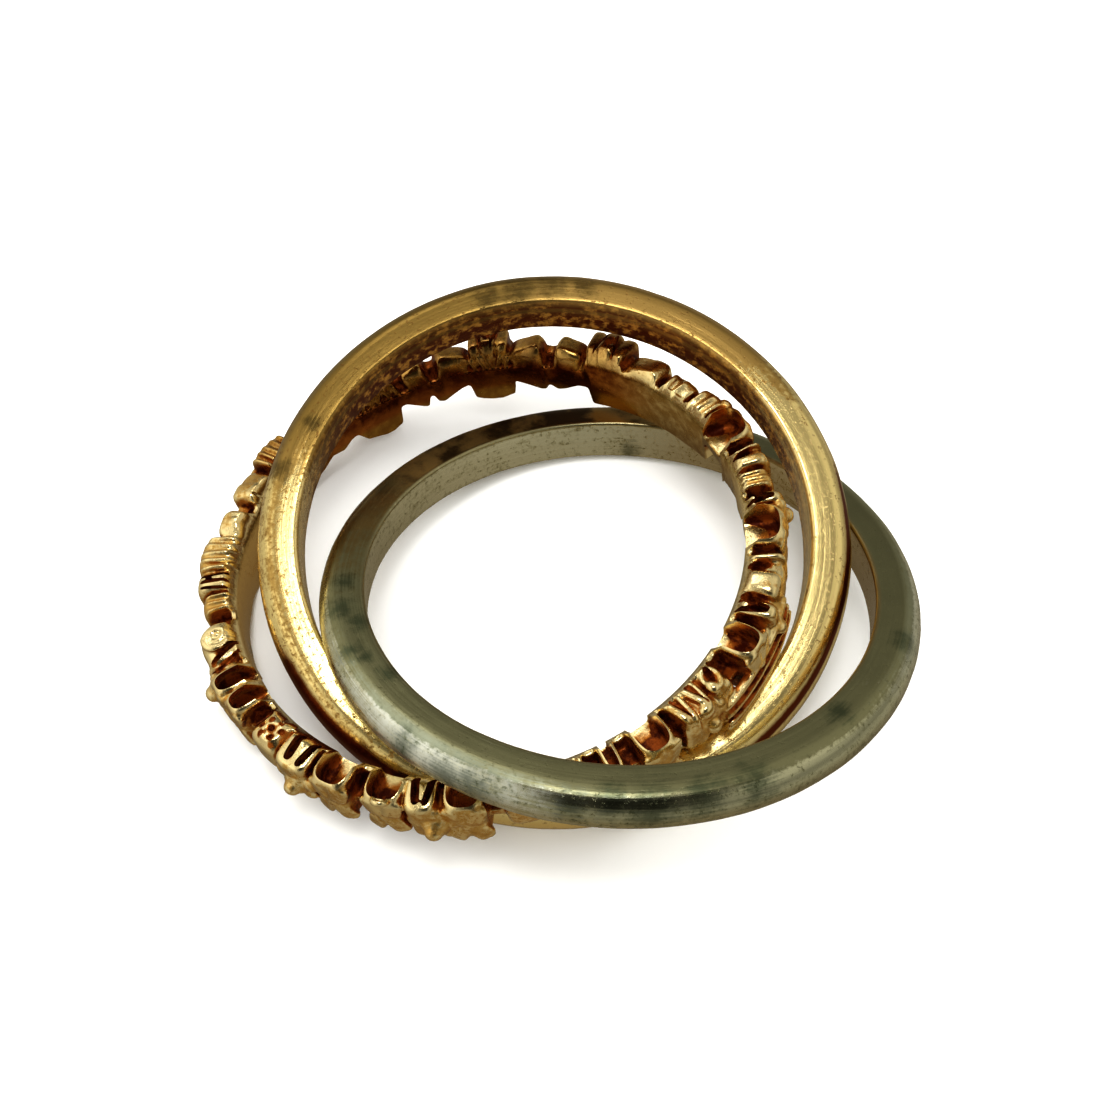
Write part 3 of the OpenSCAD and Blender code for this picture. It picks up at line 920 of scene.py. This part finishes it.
def mark_crests(mesh, reach):
    """Marks each point with how far it stands out from its neighbours' middle."""
    count = len(mesh.vertices)
    places, normals = np.empty(count * 3), np.empty(count * 3)
    mesh.vertices.foreach_get("co", places)
    mesh.vertices.foreach_get("normal", normals)
    places, normals = places.reshape(-1, 3), normals.reshape(-1, 3)
    ends = np.empty(len(mesh.edges) * 2, dtype=np.int64)
    mesh.edges.foreach_get("vertices", ends)
    ends = ends.reshape(-1, 2)
    degree = np.bincount(ends.ravel(), minlength=count)[:, None]

    def neighbours(values):
        return np.stack([np.bincount(ends[:, 0], values[ends[:, 1], k], count)
                         + np.bincount(ends[:, 1], values[ends[:, 0], k], count)
                         for k in range(values.shape[1])], -1) / degree

    around = neighbours(neighbours(neighbours(places)))
    crest = neighbours(((places - around) * normals).sum(1)[:, None] / reach)[:, 0]
    mesh.attributes.new("crest", "FLOAT", "POINT").data.foreach_set("value", np.clip(crest, -1, 1))


def leave_one_body(mesh):
    """Takes out the slivers and crumbs that cutting leaves, so that the casting is one closed body."""
    body = bmesh.new()
    body.from_mesh(mesh)
    bmesh.ops.dissolve_degenerate(body, dist=0.0002, edges=body.edges)
    left, largest_island = set(body.verts), set()
    while left:
        island, edge = set(), [left.pop()]
        while edge:
            vert = edge.pop()
            island.add(vert)
            near = {e.other_vert(vert) for e in vert.link_edges} & left
            left -= near
            edge.extend(near)
        if len(island) > len(largest_island):
            largest_island = island
    bmesh.ops.delete(body, geom=[v for v in body.verts if v not in largest_island], context="VERTS")
    bmesh.ops.triangulate(body, faces=[f for f in body.faces if len(f.verts) > 3])
    body.to_mesh(mesh)
    body.free()


def fused_body(name, rows, strips, bend, metal):
    """The rows of forms and the strips, fused into one body."""
    piece = point_cloud(name, rows)
    run_tree(piece, bend, {"Strips": strips, "Middle radius": WREATH_MID_R, "Metal": metal})
    fuse = piece.modifiers.new("fuse", "REMESH")
    fuse.mode, fuse.voxel_size = "VOXEL", VOXEL
    soften = piece.modifiers.new("soften", "SMOOTH")
    soften.factor, soften.iterations = 0.5, 3
    return object_of(plain_mesh(piece, name + "_mesh"))


# Darker patches on the casting. Columns: degrees round, radius, height, reach (millimetres)
WREATH_DARK_PATCHES = [(100, 8.75, -0.3, 3.2), (118, 8.75, -0.2, 2.6), (82, 8.75, -0.4, 2.0), (62, 9.8, 0.9, 1.1),
                 (140, 8.8, -0.2, 2.2), (68, 9.6, 0.9, 0.8)]
# Places worn bright, with painted highlights on them. Columns as above
WREATH_RUBBED_AND_HIGHLIT = [(198, 9.7, 0.9, 1.0), (226, 9.8, 0.8, 1.0), (253, 10.0, 0.9, 0.6),
                 (41, 9.4, 0.9, 1.0), (-13, 9.5, 0.9, 0.8), (-44, 9.3, 0.9, 0.9), (-30, 10.3, 0, 1.4)]


def cast_metal():
    """Worn rims with painted highlights, painted amber reflections in the hollows, and nearly black red painted shade,
    over some patina, deep in the recesses.
    """
    material, shader, where = new_metal("cast_gold", WREATH_PLACE)
    point, radius, height = where["Point"], where["Radius"], where["Height"]
    recess, crest, hollow = (
        add_node(material.node_tree, "ShaderNodeAttribute", {}, 2, attribute_name=label)
        for label in ("recess", "crest", "hollow"))
    grains = noise_at(point, 2.2, 5.0, 0.65)
    patchy = step_between(grains, 0.30, 0.62)
    far = stretch(where, 104, 60.0, 38.0)
    # Crests: worn, and lightened as painted highlights.
    rim = times(step_between(crest, 0.1, 0.6), 0.5)
    # How deep in painted shade a point lies: from how closed in it is, from cut hollows and the far side, less on
    # crests.
    depth = weighted(minus(recess, 0.25), (grains, 0.5), (rim, -1.0), (hollow, 0.42), (far, 0.06))
    inside = step_between(radius, WREATH_BORE_R + 0.12, WREATH_BORE_R + 0.02)
    brown = times(inside, stretch(where, 102, 58.0, 34.0))
    bronze = times(inside, stretch(where, 40, 40.0, 20.0), weighted(0.55, (patchy, 0.35)))
    worn = worn_metal(where, {
        "Polished": (1.0, 0.82, 0.46), "Dull": (0.76, 0.49, 0.17), "Grime": (0.24, 0.07, 0.015), "Pit share": 0.2,
        "Grime share": times(inside, 0.1),
        "Dullness": weighted(0.54, (spots(where, WREATH_RUBBED_AND_HIGHLIT, "Point"), -0.3), (rim, -0.3))}, "Point")
    # Nearly black red painted shade deep in, and amber painted reflections less deep.
    dark = blend(step_between(grains, 0.42, 0.60), (0.06, 0.010, 0.002), (0.24, 0.065, 0.010))
    amber = blend(far, (0.42, 0.17, 0.032), (0.20, 0.06, 0.012))
    colour = tinted(
        worn["Colour"],
        (bronze, 1.0, (0.34, 0.19, 0.04)),
        (far, 0.75, (0.66, 0.38, 0.085)),
        (times(far, step_between(recess, 0.04, 0.24)), 0.6, (0.28, 0.08, 0.012)),
        (brown, 0.8, (0.40, 0.11, 0.012)),
        (times(inside, stretch(where, 178, 50.0, 25.0)), 0.75, (0.42, 0.22, 0.035)),
        (times(brown, step_between(height, -0.55, -0.95)), 0.85, (0.56, 0.36, 0.09)),
        (times(brown, step_between(height, -0.6, 0.0), patchy), 0.9, (0.12, 0.024, 0.005)),
        (spots(where, WREATH_DARK_PATCHES, "Point"), 0.6, (0.15, 0.035, 0.008)),
        (step_between(depth, 0.08, 0.34), 1.0, amber),
        (step_between(depth, 0.26, 0.50), 1.0, dark))
    # Deep painted shade is made partly a non-metal.
    finish_metal(shader, colour, worn["Roughness"], plus(worn["Height"], grains), WREATH_GRAIN,
                 times(step_between(depth, 0.20, 0.52), 0.6))
    return material


shapes = [object_of(mesh) for mesh in (block_mesh("block", 4, 4), block_mesh("bead", 2, 2), ring_mesh("ring"),
                                       block_mesh("cup", 3.2, 9), block_mesh("pillow", 3, 3))]
degrees = np.arange(WALL_STEPS) * 360 / WALL_STEPS
strips = round_strip("inner_wall", WREATH_BORE_R - WALL_SUNK_IN, WREATH_BORE_R + WREATH_WALL, *edge_heights(degrees))
level = np.full(len(degrees), WEB_HALF_HEIGHT)
raised = level + BACKING_RAISED_BY * ((degrees > BACKED[0]) & (degrees < BACKED[1]))
others = [round_strip("web", WREATH_BORE_R, WEB_TO_R, level, level), round_strip("backing", *BACKING_R, raised, raised)]
with bpy.context.temp_override(active_object=strips, selected_editable_objects=[strips, *others]):
    bpy.ops.object.join()
nothing = object_of(mesh_of("nothing", [], [], []))
bend = bending_tree(shapes)
metal = cast_metal()
added, cut = wreath_forms()
casting = fused_body("casting", added, strips, bend, metal)
hollows = fused_body("hollows", cut, nothing, bend, metal)
opening = opening_mesh("finger_opening", OPENING_STEPS)
for cutter in (hollows, opening):
    carve = casting.modifiers.new("carve", "BOOLEAN")
    carve.operation, carve.solver, carve.object = "DIFFERENCE", "MANIFOLD", cutter
casting.modifiers.new("thin", "DECIMATE").ratio = THINNED_TO
run_tree(casting, recess_tree(RECESS_LOOKS), {"Reach": RECESS_REACH, "Hollows": hollows})
mesh = plain_mesh(casting, "wreath_casting")
leave_one_body(mesh)
mark_crests(mesh, CREST_REACH)
for piece in (*shapes, strips, nothing, hollows, opening):
    bpy.data.objects.remove(piece)

mesh.transform(WREATH_PLACE @ Matrix.Scale(MM, 4))
mesh.shade_smooth()
mesh.set_sharp_from_angle(angle=math.radians(SHARP_FROM_DEG))
wreath = object_of(mesh)
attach(wreath, "root")
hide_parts("wreath_band")
wreath.data.materials.clear()
wreath.data.materials.append(metal)
